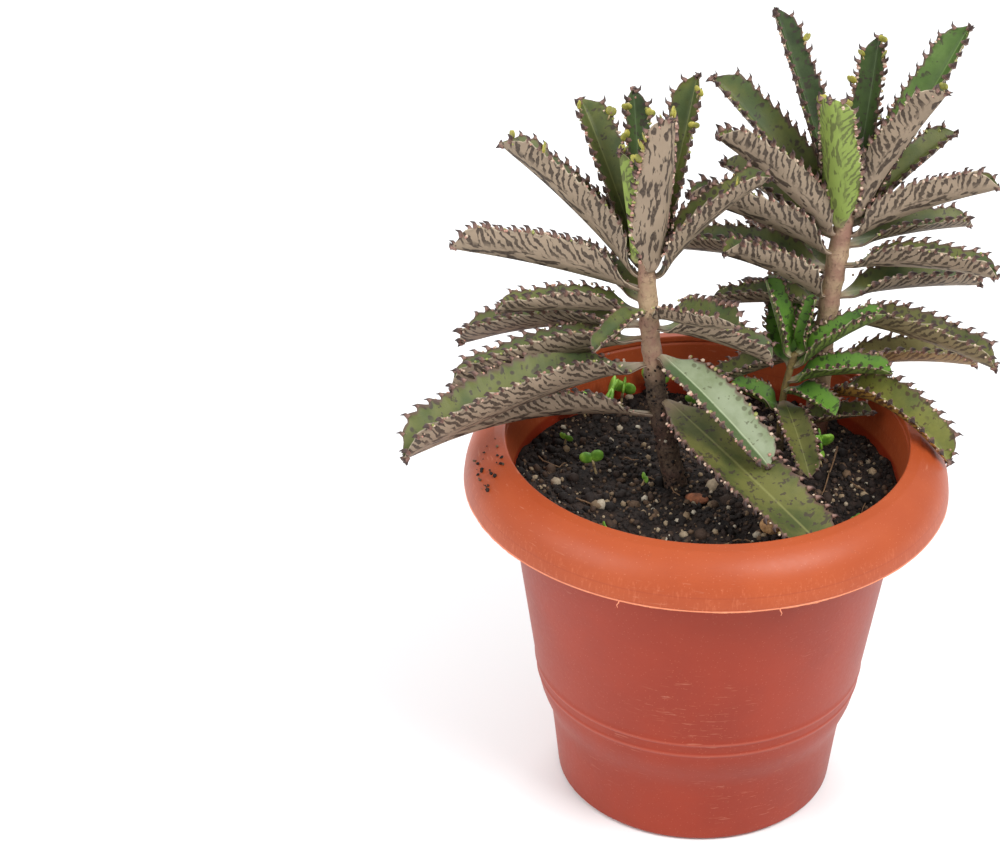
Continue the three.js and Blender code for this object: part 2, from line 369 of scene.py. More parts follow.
def aligned(ring, model):
    """The same ring, started and turned so that its points match a neighbouring ring's."""
    centre = sum(ring, Vector()) / len(ring)
    middle = sum(model, Vector()) / len(model)
    best = None
    for way in (ring, ring[::-1]):
        for start in range(len(ring)):
            turned = way[start:] + way[:start]
            miss = sum(((p - centre).normalized() - (q - middle).normalized()).length
                       for p, q in zip(turned, model))
            if best is None or miss < best[0]:
                best = (miss, turned)
    return best[1]


class LeafFrame:
    """Keel, edges and thickness of one CAD leaf, from its rings of points."""

    def __init__(self, node, stem):
        bm = merged_copy(node)
        tip = max(bm.verts, key=lambda vert: stem.distance(vert.co))
        rings, seen, rim = [], {tip}, [tip]
        while True:
            rim = sorted({edge.other_vert(vert) for vert in rim for edge in vert.link_edges} - seen,
                         key=lambda vert: vert.index)
            if len(rim) < 8:
                break
            seen.update(rim)
            rings.append(rim)
        points = []
        for ring in rings:
            order = ring_order(ring)
            points.append(aligned(order, points[-1]) if points else self.first(order))
        points.reverse()
        self.tip = tip.co.copy()
        bm.free()

        self.left = [ring[0] for ring in points]
        self.right = [ring[4] for ring in points]
        self.keel = [(ring[2] + ring[6]) / 2 for ring in points]
        self.thick = [(ring[2] - ring[6]).length for ring in points]
        middle = len(points) // 2
        up = (self.left[middle] + self.right[middle]) / 2 - self.keel[middle]
        along = self.keel[middle + 1] - self.keel[middle - 1]
        if (self.right[middle] - self.left[middle]).cross(along).dot(up) < 0:
            self.left, self.right = self.right, self.left
        self.finish(stem)

    @staticmethod
    def first(ring):
        """Turns the ring next to the tip so that it starts at an edge and goes under the keel."""
        start = max(range(4), key=lambda i: (ring[i] - ring[i + 4]).length)
        ring = ring[start:] + ring[:start]
        up = (ring[0] + ring[4]) / 2 - (ring[2] + ring[6]) / 2
        return ring if (ring[2] - ring[6]).dot(up) < 0 else [ring[0]] + ring[:0:-1]

    def finish(self, stem):
        """Adds the hidden foot inside the stem and the tip, and measures the length."""
        start = self.keel[0]
        height = min(max(start.z, stem.knots[0]), stem.knots[-1])
        inward = stem.centre(height) - start
        reach = inward * 0.7 - UP * 0.8 * MM
        for values in (self.left, self.right, self.keel):
            values.insert(0, start + reach + (values[0] - start) * 0.8)
            values.append(self.tip)
        self.thick = [self.thick[0], *self.thick, 0.5 * MM]
        self.knots = [0.0]
        for here, after in zip(self.keel, self.keel[1:]):
            self.knots.append(self.knots[-1] + (after - here).length)
        self.length = self.knots[-1]
        self.visible = self.knots[1]

    def section(self, run):
        return (hermite(self.knots, self.keel, run), hermite(self.knots, self.left, run),
                hermite(self.knots, self.right, run))

    def tangent(self, run):
        step = 1 * MM
        ahead = hermite(self.knots, self.keel, min(run + step, self.length))
        behind = hermite(self.knots, self.keel, max(run - step, 0))
        return (ahead - behind).normalized()


# ---------------------------------------------------------------- leaf

class LeafLook:
    """What makes one leaf differ: its finishes, bulbils and plantlets."""

    def __init__(self, kind="grown", plantlets=0, bulbils=1.0):
        self.kind = kind
        self.plantlets = plantlets
        self.bulbils = bulbils


LOOKS = {
    "leaf_left_02": LeafLook("olive", bulbils=1.2),
    "leaf_left_03": LeafLook("silver", bulbils=1.6),
    "leaf_left_13": LeafLook(plantlets=2),
    "leaf_left_14": LeafLook(plantlets=1),
    "leaf_left_15": LeafLook(plantlets=2),
    "leaf_left_16": LeafLook(plantlets=3),
    "leaf_left_17": LeafLook("dark", plantlets=5, bulbils=1.6),
    "leaf_left_18": LeafLook("lime", plantlets=1, bulbils=1.6),
    "leaf_left_19": LeafLook("streaked", plantlets=6, bulbils=1.4),
    "leaf_right_01": LeafLook("old"),
    "leaf_right_02": LeafLook("yellow"),
    "leaf_right_06": LeafLook("olive"),
    "leaf_right_20": LeafLook("dark", plantlets=1),
    "leaf_right_21": LeafLook("lime", plantlets=3, bulbils=1.5),
    "leaf_right_22": LeafLook("dark", plantlets=4, bulbils=1.6),
    "leaf_right_23": LeafLook("fresh", plantlets=1),
    "leaf_right_18": LeafLook(plantlets=1),
    "leaf_right_24": LeafLook("lime", plantlets=1, bulbils=1.4),
    "leaf_shoot_01": LeafLook("olive"),
    "leaf_shoot_02": LeafLook("olive"),
}
TEETH_SHAPE = 6


def blade_point(leaf, run, across, upper, wave):
    """A point on the blade: across goes from -1 at the left edge to 1 at the right one."""
    keel, left, right = leaf.section(run)
    along = leaf.tangent(run)
    edge = left if across < 0 else right
    half = edge - keel
    share = abs(across)
    normal_left = (keel - left).cross(along)
    normal_right = (right - keel).cross(along)
    blend = ease(-0.2, 0.2, across)
    normal = normal_left.normalized() * (1 - blend) + normal_right.normalized() * blend
    if normal.length < 1e-6:
        normal = UP.copy()
    normal.normalize()
    thick = hermite(leaf.knots, leaf.thick, run)
    rounding = math.sqrt(max(1 - share ** 6, 0))
    lift = thick / 2 * (1 - 0.5 * share) * rounding
    belly = -0.09 * half.length * math.sin(math.pi * share)
    blunt = 1 + 0.55 * ease(0.74, 0.96, run / leaf.length)
    point = keel + half * (share * blunt * (1 + wave[0])) + normal * (belly + wave[1])
    return point + normal * (lift if upper else -lift)


def tooth_phase(leaf, run, spacing):
    return (run - leaf.visible) / spacing


def blade_wave(leaf, run, across, spacing, seed):
    """Scallops along the edge, each rising to its tooth, and a slow ripple of the blade."""
    share = abs(across)
    phase = tooth_phase(leaf, run, spacing) + (0.5 if across > 0 else 0)
    ends = ease(leaf.visible + 4 * MM, leaf.visible + 10 * MM, run) * ease(0, 5 * MM, leaf.length - run)
    saw = (phase % 1) ** 1.4
    scallop = 0.2 * (saw - 0.35) * ease(0.6, 1, share) * ends
    ripple = noise.noise(Vector((run / (14 * MM), across, seed)))
    return scallop, ripple * 1.6 * MM * share ** 2 * ends


def make_blade(bm, leaf, layers, seed, spacing):
    chart, tone, span = layers
    around, along = 28, max(24, int(leaf.length / spacing * 4))
    grid = bmesh.ops.create_grid(bm, x_segments=around, y_segments=along, size=1)["verts"]
    places = {}
    for vert in grid:
        places[vert] = ((vert.co.x + 1) / 2, leaf.length * (vert.co.y + 1) / 2)
    for face in bm.faces:
        face.material_index = 0 if sum(places[vert][0] for vert in face.verts) < 2 else 1
        for loop in face.loops:
            turn, run = places[loop.vert]
            across = -math.cos(2 * math.pi * turn)
            keel, left, right = leaf.section(run)
            width = ((left if across < 0 else right) - keel).length * across
            loop[chart].uv = (width / 0.1, run / 0.1)
    for vert, (turn, run) in places.items():
        across = -math.cos(2 * math.pi * turn)
        wave = blade_wave(leaf, run, across, spacing, seed)
        vert.co = blade_point(leaf, run, across, turn <= 0.5, wave)
        vert[tone] = run / leaf.length
        vert[span] = abs(across)
    bmesh.ops.remove_doubles(bm, verts=grid, dist=0.02 * MM)
    border = [edge for edge in bm.edges if edge.is_boundary]
    bmesh.ops.holes_fill(bm, edges=border, sides=0)


def make_tooth(bm, base, out, along, up, length, tone):
    """A claw that reaches out of the edge and hooks toward the leaf's tip."""
    root = length * 0.46
    lean = (out + along * 0.45).normalized()
    cone = bmesh.ops.create_cone(
        bm, segments=TEETH_SHAPE, radius1=1, radius2=0.62, depth=1,
        cap_ends=True, cap_tris=False,
        matrix=frame_matrix(base + lean * length * 0.22, lean, up, (root * 0.6, root, length * 0.55)))
    verts = cone["verts"]
    axis_height = {vert: (vert.co - base).dot(lean) for vert in verts}
    top = [vert for vert in verts if axis_height[vert] > length * 0.3]
    cap = next(face for face in faces_of(top) if all(vert in top for vert in face.verts))
    grown = bmesh.ops.extrude_discrete_faces(bm, faces=[cap])["faces"][0]
    hook = (out * 0.35 + along + up * 0.15).normalized()
    ends = list(grown.verts)
    middle = grown.calc_center_median()
    for vert in ends:
        vert.co = middle + (vert.co - middle) * 0.18 + hook * length * 0.5
    for vert in verts:
        vert[tone] = 0.15
    for vert in top:
        vert[tone] = 0.6
    for vert in ends:
        vert[tone] = 1.0
    paint(verts + ends, 2)


def make_bulbil(bm, base, along, up, size, tone, value):
    matrix = frame_matrix(base, along, up, (size * 0.75, size * 0.7, size))
    verts = blob(bm, matrix)
    paint(verts, 3, tone, value)


def make_plantlet(bm, base, direction, up, size, tone, material=4, spread=0.55):
    """Two round, cupped leaves on a short stalk; spread says how far they open."""
    stalk = bmesh.ops.create_cone(
        bm, segments=6, radius1=1, radius2=0.8, depth=1, cap_ends=True, cap_tris=False,
        matrix=frame_matrix(base + direction * size * 0.1, direction, up,
                            (size * 0.12, size * 0.12, size * 0.6)))["verts"]
    paint(stalk, material, tone, 0.3)
    top = base + direction * size * 0.3
    side = direction.cross(up)
    side = side.normalized() if side.length > 1e-6 else direction.orthogonal().normalized()
    for way in (-1, 1):
        lean = (direction + side * way * spread).normalized()
        face = direction.cross(side).normalized()
        matrix = frame_matrix(top + lean * size * 0.5, lean, face, (size * 0.5, size * 0.15, size * 0.55))
        verts = blob(bm, matrix, 2)
        inward = (direction - side * way * 0.5).normalized()
        for vert in verts:
            offset = vert.co - (top + lean * size * 0.5)
            vert.co += inward * (offset.length ** 2 / size * 0.5)
        paint(verts, material, tone, 0.75)


def dress_edges(bm, leaf, tone, rng, look, spacing, length):
    """Teeth, bulbils and plantlets along both edges."""
    count = int((leaf.length - leaf.visible) / spacing)
    for side in (-1, 1):
        for number in range(count + 1):
            shift = 0.92 if side < 0 else 0.42
            run = leaf.visible + (number + shift) * spacing
            if not leaf.visible + 7 * MM < run < leaf.length - 0.8 * MM:
                continue
            keel, left, right = leaf.section(run)
            edge = left if side < 0 else right
            along = leaf.tangent(run)
            out = (edge - keel).normalized()
            up = (out.cross(along) * -side).normalized()
            wide = (edge - keel).length * (1 + 0.55 * ease(0.74, 0.96, run / leaf.length))
            base = keel + out * (wide * 1.04 - 0.4 * MM)
            size = length * rng.uniform(0.8, 1.15) * (0.75 + 0.25 * ease(0, 0.4, run / leaf.length))
            make_tooth(bm, base, out, along, up, size, tone)
            for _ in range(rng.choice((1, 2, 2, 3))):
                if rng.random() > 0.75 * look.bulbils:
                    continue
                spot = (base - along * rng.uniform(0.25, 0.6) * spacing + out * rng.uniform(-0.5, 0.5) * MM
                        + up * rng.uniform(0.1, 0.8) * MM)
                girth = rng.uniform(0.5, 0.95) * MM * look.bulbils ** 0.5
                heading = (out + up * rng.uniform(0, 1) + along * rng.uniform(-0.5, 0.5)).normalized()
                make_bulbil(bm, spot, heading, up, girth, tone, rng.random())
    tip_along = leaf.tangent(leaf.length)
    for _ in range(5):
        drift = Vector((rng.uniform(-1, 1), rng.uniform(-1, 1), rng.uniform(-1, 1)))
        aim = (tip_along + drift * 0.7).normalized()
        out = (drift - tip_along * drift.dot(tip_along)).normalized()
        make_tooth(bm, leaf.tip - tip_along * rng.uniform(0.5, 2.5) * MM, aim, out, tip_along.orthogonal(),
                   length * rng.uniform(0.6, 0.9), tone)
    for number in range(look.plantlets):
        run = leaf.length * rng.uniform(0.62, 0.99)
        keel, left, right = leaf.section(run)
        edge = left if number % 2 else right
        out = (edge - keel).normalized() if (edge - keel).length > 1e-6 else UP
        aim = (out * 0.5 + UP * rng.uniform(0.4, 1) + leaf.tangent(run) * 0.4).normalized()
        twist = Vector((rng.uniform(-1, 1), rng.uniform(-1, 1), 0.1)).normalized()
        make_plantlet(bm, edge, aim, twist, rng.uniform(2.9, 4.0) * MM, tone)


def make_leaf(node, stem, finishes, settings):
    leaf = LeafFrame(node, stem)
    look = LOOKS.get(node, LeafLook("young" if "shoot" in node else "grown"))
    rng = random.Random(node)
    small = min(1.0, (leaf.length / (70 * MM)) ** 0.5)
    spacing = settings.tooth_spacing * small
    length = settings.tooth_length * small
    bm = bmesh.new()
    tone = bm.verts.layers.float.new("tone")
    span = bm.verts.layers.float.new("span")
    chart = bm.loops.layers.uv.new("chart")
    make_blade(bm, leaf, (chart, tone, span), rng.uniform(0, 50), spacing)
    dress_edges(bm, leaf, tone, rng, look, spacing, length)
    upper, under = finishes[look.kind]
    materials = [upper, under, finishes["tooth"], finishes["bulbil"], finishes["plantlet"]]
    return new_piece(node + "_blade", bm, materials, [node])


# ---------------------------------------------------------------- leaf finishes

def leaf_grain(finish):
    """Fine waxy unevenness shared by every leaf finish."""
    fine = finish.noise(finish.place(), 1800, 3)
    broad = finish.noise(finish.place(), 160, 2)
    return finish.bump(fine * 0.35 + broad, 0.35 * MM, 0.6)


def upper_finish(name, base, spots, shade, spot_share=0.5, half_colour=None):
    """Upper side: mottled colour, darker spots, a pale crease and a purple edge."""
    finish = Finish(name, IOR=1.42, Specular_IOR_Level=0.45)
    place = finish.place()
    across, along, _ = finish.split(finish.chart())
    span = finish.attribute("span")
    cloud = finish.noise(place, 60, 4, 0.6)
    colour = finish.mix(finish.step(cloud, 0.35, 0.7), base, shade)
    speck = finish.noise(finish.join(across * 0.8, along, 0.3), 42, 2, 0.6)
    low = 0.68 - 0.12 * spot_share
    colour = finish.mix(finish.step(speck, low, low + 0.06) * 0.75, colour, spots)
    dots = 1 - finish.step(finish.cells(finish.join(across, along, 0.5), 26), 0.2, 0.34)
    colour = finish.mix(dots * finish.step(span, 0.4, 0.72) * 0.8, colour, spots)
    crease = 1 - finish.step(span, 0.0, 0.07)
    pale = tuple(min(part * 1.7 + 0.03, 1) for part in base)
    colour = finish.mix(crease * 0.55, colour, pale)
    if half_colour:
        half = finish.step(across + (cloud - 0.5) * 0.03, 0.0, 0.012)
        colour = finish.mix(half * 0.85, colour, half_colour)
    stalk = 1 - finish.step(finish.attribute("tone"), 0.04, 0.15)
    colour = finish.mix(stalk * 0.6, colour, srgb(176, 150, 130))
    edge = finish.step(span + (finish.noise(place, 420, 2) - 0.5) * 0.16, 0.84, 0.97)
    colour = finish.mix(edge * 0.8, colour, srgb(92, 66, 60))
    rough = 0.42 + cloud * 0.22
    return finish.finish(Base_Color=colour, Roughness=rough, Normal=leaf_grain(finish))


def under_finish(name, base, stripe, strength=1.0, streaked=False):
    """Underside: slanting purple-brown bars toward the edge, long streaks by the keel."""
    finish = Finish(name, IOR=1.42, Specular_IOR_Level=0.4)
    place = finish.place()
    across, along, _ = finish.split(finish.chart())
    span = finish.attribute("span")
    slant = along - abs(across) * 1.1
    drift = finish.noise(finish.join(across * 0.6, along, 0.1), 16, 3, 0.6)
    bars = (slant * 165 + drift * 17).math("SINE")
    breaks = finish.noise(finish.join(across * 0.7, along, 0.4), 34, 2, 0.5)
    streaks = finish.noise(finish.join(across * 2.0, along * 0.42, 0.7), 36, 2, 0.5)
    bar_mask = finish.step(bars + (breaks - 0.5) * 6, 0.0, 0.45)
    near_keel = 1 if streaked else 1 - finish.step(span, 0.2, 0.55)
    mask = finish.step(streaks, 0.53, 0.58) * near_keel + bar_mask * (1 - near_keel)
    cloud = finish.noise(place, 80, 3, 0.6)
    light = tuple(part * 1.18 for part in base)
    dark = tuple(part * 0.72 for part in base)
    colour = finish.mix(cloud, dark, light)
    fine = finish.noise(place, 900, 2)
    colour = finish.mix(mask * (0.85 * strength) * (0.7 + fine * 0.6), colour, stripe)
    stalk = 1 - finish.step(finish.attribute("tone"), 0.04, 0.15)
    colour = finish.mix(stalk * 0.6, colour, srgb(176, 150, 130))
    rim = finish.step(span, 0.93, 0.99)
    colour = finish.mix(rim * 0.5, colour, srgb(205, 190, 165))
    return finish.finish(Base_Color=colour, Roughness=0.5 + cloud * 0.2, Normal=leaf_grain(finish))


def tooth_finish():
    finish = Finish("tooth purple-brown", Specular_IOR_Level=0.4)
    tone = finish.attribute("tone")
    cloud = finish.noise(finish.place(), 500, 2)
    colour = finish.mix(finish.step(tone + (cloud - 0.5) * 0.5, 0.1, 0.75), srgb(150, 116, 104), srgb(58, 42, 38))
    return finish.finish(Base_Color=colour, Roughness=0.45 + cloud * 0.2,
                         Normal=finish.bump(cloud, 0.2 * MM))


def bulbil_finish():
    finish = Finish("bulbil cream and rose", Specular_IOR_Level=0.45)
    tone = finish.attribute("tone")
    cloud = finish.noise(finish.place(), 900, 2)
    pale = finish.mix(finish.step(tone, 0.35, 0.6), srgb(214, 190, 166), srgb(186, 138, 122))
    colour = finish.mix(finish.step(tone, 0.78, 0.86), pale, srgb(150, 158, 84))
    colour = finish.mix(cloud * 0.35, colour, srgb(112, 82, 70))
    return finish.finish(Base_Color=colour, Roughness=0.45 + cloud * 0.15,
                         Normal=finish.bump(cloud, 0.15 * MM))


def plantlet_finish(name, light, dark):
    finish = Finish(name, Specular_IOR_Level=0.5)
    cloud = finish.noise(finish.place(), 260, 3)
    tone = finish.attribute("tone")
    colour = finish.mix(finish.step(cloud, 0.35, 0.65), dark, light)
    colour = finish.mix(1 - finish.step(tone, 0.3, 0.7), colour, srgb(170, 150, 110))
    return finish.finish(Base_Color=colour, Roughness=0.4 + cloud * 0.15,
                         Normal=finish.bump(cloud, 0.3 * MM))


def leaf_finishes(settings):
    upper, under, stripe = (tuple(c) for c in (settings.upper, settings.under, settings.stripe))
    purple = srgb(58, 44, 42)
    kinds = {
        "grown": (upper, purple, srgb(70, 84, 46), 0.5, under, stripe, 1.0),
        "olive": (srgb(100, 100, 50), purple, srgb(66, 74, 34), 0.9, srgb(130, 116, 84), stripe, 0.9),
        "silver": (srgb(136, 146, 116), srgb(84, 88, 60), srgb(104, 116, 78), 0.5, under, stripe, 0.9),
        "dark": (srgb(66, 84, 44), purple, srgb(46, 58, 34), 0.9, srgb(128, 108, 92), stripe, 1.0),
        "lime": (srgb(140, 164, 62), srgb(66, 76, 40), srgb(112, 140, 48), 0.6,
                 srgb(134, 152, 74), srgb(66, 62, 44), 0.75),
        "fresh": (srgb(96, 122, 60), purple, srgb(72, 98, 44), 0.4, srgb(150, 138, 104), stripe, 0.9),
        "young": (srgb(92, 132, 44), srgb(40, 46, 26), srgb(64, 100, 34), 0.9,
                  srgb(110, 128, 62), srgb(56, 56, 38), 0.9),
        "old": (srgb(118, 118, 50), srgb(70, 50, 34), srgb(84, 92, 40), 0.8,
                srgb(168, 128, 62), srgb(74, 46, 34), 1.0),
        "yellow": (srgb(150, 142, 92), srgb(82, 66, 46), srgb(120, 112, 70), 0.7,
                   srgb(150, 124, 84), srgb(80, 56, 42), 0.9),
    }
    kinds["streaked"] = kinds["grown"]
    finishes = {
        kind: (upper_finish(kind + " leaf upper side", base, spots, shade, share,
                            srgb(62, 84, 40) if kind == "silver" else None),
               under_finish(kind + " leaf underside", below, bars, strength, kind == "streaked"))
        for kind, (base, spots, shade, share, below, bars, strength) in kinds.items()
    }
    finishes["tooth"] = tooth_finish()
    finishes["bulbil"] = bulbil_finish()
    finishes["plantlet"] = plantlet_finish("plantlet yellow-green", srgb(164, 156, 66), srgb(112, 112, 44))
    return finishes


class KALANCHOE_OT_leaves(bpy.types.Operator):
    """Replace every CAD leaf by a toothed blade with bulbils along its edges"""
    bl_idname = "kalanchoe.leaves"
    bl_label = "Leaves"

    def execute(self, context):
        settings = context.scene.kalanchoe_leaves
        finishes = leaf_finishes(settings)
        for plant in PLANTS:
            stem = Stem(plant)
            for node in sorted(NODES):
                if node.startswith("leaf_" + plant):
                    make_leaf(node, stem, finishes, settings)
        return {"FINISHED"}


# ---------------------------------------------------------------- stems

def stem_finish(name, light, dark, dirt_top):
    """Waxy stem: pinkish beige with faint blotches, soil-stained below a height."""
    finish = Finish(name, Specular_IOR_Level=0.35)
    place = finish.place()
    _, _, z = finish.split(place)
    cloud = finish.noise(place, 90, 4, 0.6)
    fine = finish.noise(place, 700, 3, 0.6)
    colour = finish.mix(finish.step(cloud, 0.35, 0.68), light, dark)
    colour = finish.mix(finish.step(fine, 0.56, 0.66) * 0.5, colour, srgb(92, 66, 58))
    stain = 1 - finish.step(z + (cloud - 0.5) * 0.04, dirt_top - 0.012, dirt_top + 0.006)
    colour = finish.mix(stain * (0.55 + fine * 0.6), colour, srgb(46, 34, 30))
    return finish.finish(Base_Color=colour, Roughness=0.5 + fine * 0.25,
                         Normal=finish.bump(fine + cloud, 0.5 * MM))


def make_stem(name, finish):
    """A ring of points carried up the centre line, swollen at a joint every 11 mm."""
    stem = Stem(name)
    bm = bmesh.new()
    low, high = stem.knots[0], stem.knots[-1]
    steps = int((high - low) / (1.6 * MM))
    joint = 11 * MM
    ring = bmesh.ops.create_circle(bm, segments=20, radius=1)["verts"]
    units = [vert.co.copy() for vert in ring]
    edges = [edge for edge in bm.edges]
    for step in range(steps + 1):
        z = low + (high - low) * step / steps
        if step:
            grown = bmesh.ops.extrude_edge_only(bm, edges=edges)["geom"]
            ring = [item for item in grown if isinstance(item, bmesh.types.BMVert)]
            edges = [item for item in grown if isinstance(item, bmesh.types.BMEdge)]
        centre, radius = stem.centre(z), stem.radius(z)
        swell = 0.09 * math.exp(-(((z / joint) % 1 - 0.5) / 0.14) ** 2)
        for vert, unit in zip(ring, units):
            bump = noise.noise(Vector((unit.x * 1.5, unit.y * 1.5, z / (9 * MM)))) * 0.1
            vert.co = centre + unit * radius * (0.94 + swell + bump)
        if step == 0:
            bmesh.ops.contextual_create(bm, geom=list(edges))
    bmesh.ops.contextual_create(bm, geom=list(edges))
    return new_piece("stem_" + name + "_skin", bm, [finish], ["stem_" + name])


class KALANCHOE_OT_stems(bpy.types.Operator):
    """Replace the CAD stems by jointed, waxy ones"""
    bl_idname = "kalanchoe.stems"
    bl_label = "Stems"

    def execute(self, context):
        beige, rose = srgb(176, 150, 120), srgb(150, 112, 96)
        make_stem("left", stem_finish("stem beige, soiled foot", beige, rose, 0.196))
        make_stem("right", stem_finish("stem beige", beige, rose, 0.150))
        make_stem("shoot", stem_finish("shoot stem brown-green", srgb(140, 124, 72), srgb(104, 84, 56), 0.150))
        return {"FINISHED"}


# ---------------------------------------------------------------- pot

def pot_finish(settings):
    """Terracotta plastic: orange rim, duller red wall, speckles, scuffs and dust, with painted highlights on the
    bead lines and on the rim's face.
    """
    finish = Finish("terracotta plastic", IOR=1.46, Specular_IOR_Level=0.35)
    place = finish.place()
    x, y, z = finish.split(place)
    broad = finish.noise(place, 22, 3, 0.55)
    fine = finish.noise(place, 520, 3, 0.6)
    speck = finish.cells(place, 620)
    body = finish.mix(finish.step(broad, 0.3, 0.75), tuple(settings.body), srgb(136, 43, 21))
    rim = finish.mix(finish.step(broad, 0.3, 0.75), tuple(settings.rim), srgb(156, 67, 34))
    colour = finish.mix(finish.step(z, 0.1435, 0.1455), body, rim)
    colour = finish.mix((1 - finish.step(speck, 0.08, 0.2)) * 0.15, colour, srgb(226, 150, 118))
    scratch = finish.noise(finish.join(x * 0.35, y * 0.35, z * 3.2), 300, 2, 0.7)
    scuff = finish.step(scratch, 0.62, 0.72) * finish.step(broad, 0.45, 0.6)
    colour = finish.mix(scuff * 0.22, colour, srgb(222, 160, 132))
    dust = finish.step(finish.noise(place, 300, 4, 0.7), 0.6, 0.72)
    colour = finish.mix(dust * 0.12, colour, srgb(120, 70, 52))
    # Painted highlight: a lighter colour along the two bead lines round the wall, at 52 and 58 mm
    bead_highlight = 1 - finish.step(abs(abs(z - 0.055) - 0.003), 0.0002, 0.0009)
    colour = finish.mix(bead_highlight * (0.12 + broad * 0.3), colour, srgb(200, 110, 90))
    # Painted highlight: lighter streaks over the rim's upper outer face
    sheen_streaks = finish.noise(finish.join(x, y, z * 0.2), 900, 3, 0.6)
    face = finish.step(z, 0.1445, 0.1455) * (1 - finish.step(z, 0.1535, 0.155))
    colour = finish.mix(finish.step(sheen_streaks, 0.5, 0.75) * face * 0.22, colour, srgb(214, 126, 90))
    joint = 1 - finish.step(abs(z - 0.1503), 0.0001, 0.0004)
    colour = finish.mix(joint * 0.3, colour, srgb(140, 56, 32))
    bump = finish.bump(fine * 0.4 + broad * 1.2 + scuff * 0.2, 0.25 * MM, 0.5)
    return finish.finish(Base_Color=colour, Roughness=0.36 + fine * 0.14 + scuff * 0.1, Normal=bump)


def pot_outline(node):
    """A turned CAD node's section on one side of its axis, in order along the profile."""
    bm = merged_copy(node)
    members = {vert for vert in bm.verts if abs(vert.co.y) < 0.02 * MM and vert.co.x > 45 * MM}
    order = [min(members, key=lambda vert: (round(vert.co.z / MM, 1), vert.co.x))]
    while True:
        onward = {edge.other_vert(order[-1]) for edge in order[-1].link_edges} & members
        onward -= set(order)
        if not onward:
            break
        order.append(min(onward, key=lambda vert: (vert.co - order[-1].co).length))
    points = [vert.co.copy() for vert in order]
    bm.free()
    return points


def with_support(points, reach):
    """A profile with a point added on either side of each corner, so rounding it keeps it crisp."""
    result = [points[0]]
    for before, corner, after in zip(points, points[1:], points[2:]):
        back, onward = before - corner, after - corner
        sharp = back.angle(-onward) > 0.3
        if sharp and back.length > 3 * reach:
            result.append(corner + back.normalized() * reach)
        result.append(corner)
        if sharp and onward.length > 3 * reach:
            result.append(corner + onward.normalized() * reach)
    return result + [points[-1]]


def turned(bm, points, steps):
    """Spins a profile round the pot's axis."""
    verts = [bmesh.ops.create_vert(bm, co=point)["vert"][0] for point in points]
    for pair in zip(verts, verts[1:]):
        bmesh.ops.contextual_create(bm, geom=pair)
    bmesh.ops.spin(bm, geom=list(bm.verts) + list(bm.edges), cent=(0, 0, 0), axis=(0, 0, 1),
                   angle=2 * math.pi, steps=steps, use_merge=True)


def rounded(piece, levels):
    modifier = piece.modifiers.new("Round", "SUBSURF")
    modifier.levels = levels
    modifier.render_levels = levels


# Band and groove just inside the mouth: how far below the crown, how far in from it
MOUTH_BAND = ((0.25, 0.45), (2.5, 0.75), (2.9, 0.15), (3.4, 0.15), (3.8, 0.85), (6.0, 1.05))


def make_pot(settings):
    """Wall, rolled rim and the band inside its mouth, spun from one profile; then the floor."""
    finish = pot_finish(settings)
    wall, rim = pot_outline("pot"), pot_outline("pot_rim")
    seam = max(range(len(wall)), key=lambda i: wall[i].x)
    crown = max(range(len(rim)), key=lambda i: rim[i].z)
    band = [rim[crown] + Vector((-inset, 0, -drop)) * MM for drop, inset in MOUTH_BAND]
    profile = wall[:seam + 1] + rim[crown + 3:] + rim[:crown + 1] + band + wall[seam + 2:]
    bm = bmesh.new()
    turned(bm, with_support(profile, 0.5 * MM), settings.sides)
    shell = new_piece("pot_shell", bm, [finish], ["pot", "pot_rim"])
    rounded(shell, 1)

    base = wall[0].x
    bm = bmesh.new()
    bmesh.ops.create_circle(bm, segments=settings.sides, radius=base)
    for hole in range(6):
        turn = Matrix.Rotation(hole * math.pi / 3, 4, "Z") @ Matrix.Translation((38 * MM, 0, 0))
        bmesh.ops.create_circle(bm, segments=24, radius=4 * MM, matrix=turn)
    bmesh.ops.triangle_fill(bm, use_beauty=True, use_dissolve=False, edges=bm.edges)
    lifted = bmesh.ops.extrude_face_region(bm, geom=list(bm.faces))["geom"]
    bmesh.ops.translate(bm, vec=UP * 2 * MM, verts=[v for v in lifted if isinstance(v, bmesh.types.BMVert)])
    new_piece("pot_floor", bm, [finish], smooth=False)
    return rim


# The two longer burrs: the angle round the pot in degrees, and which way each one curls
BURRS = ((252, -1), (288, 1))


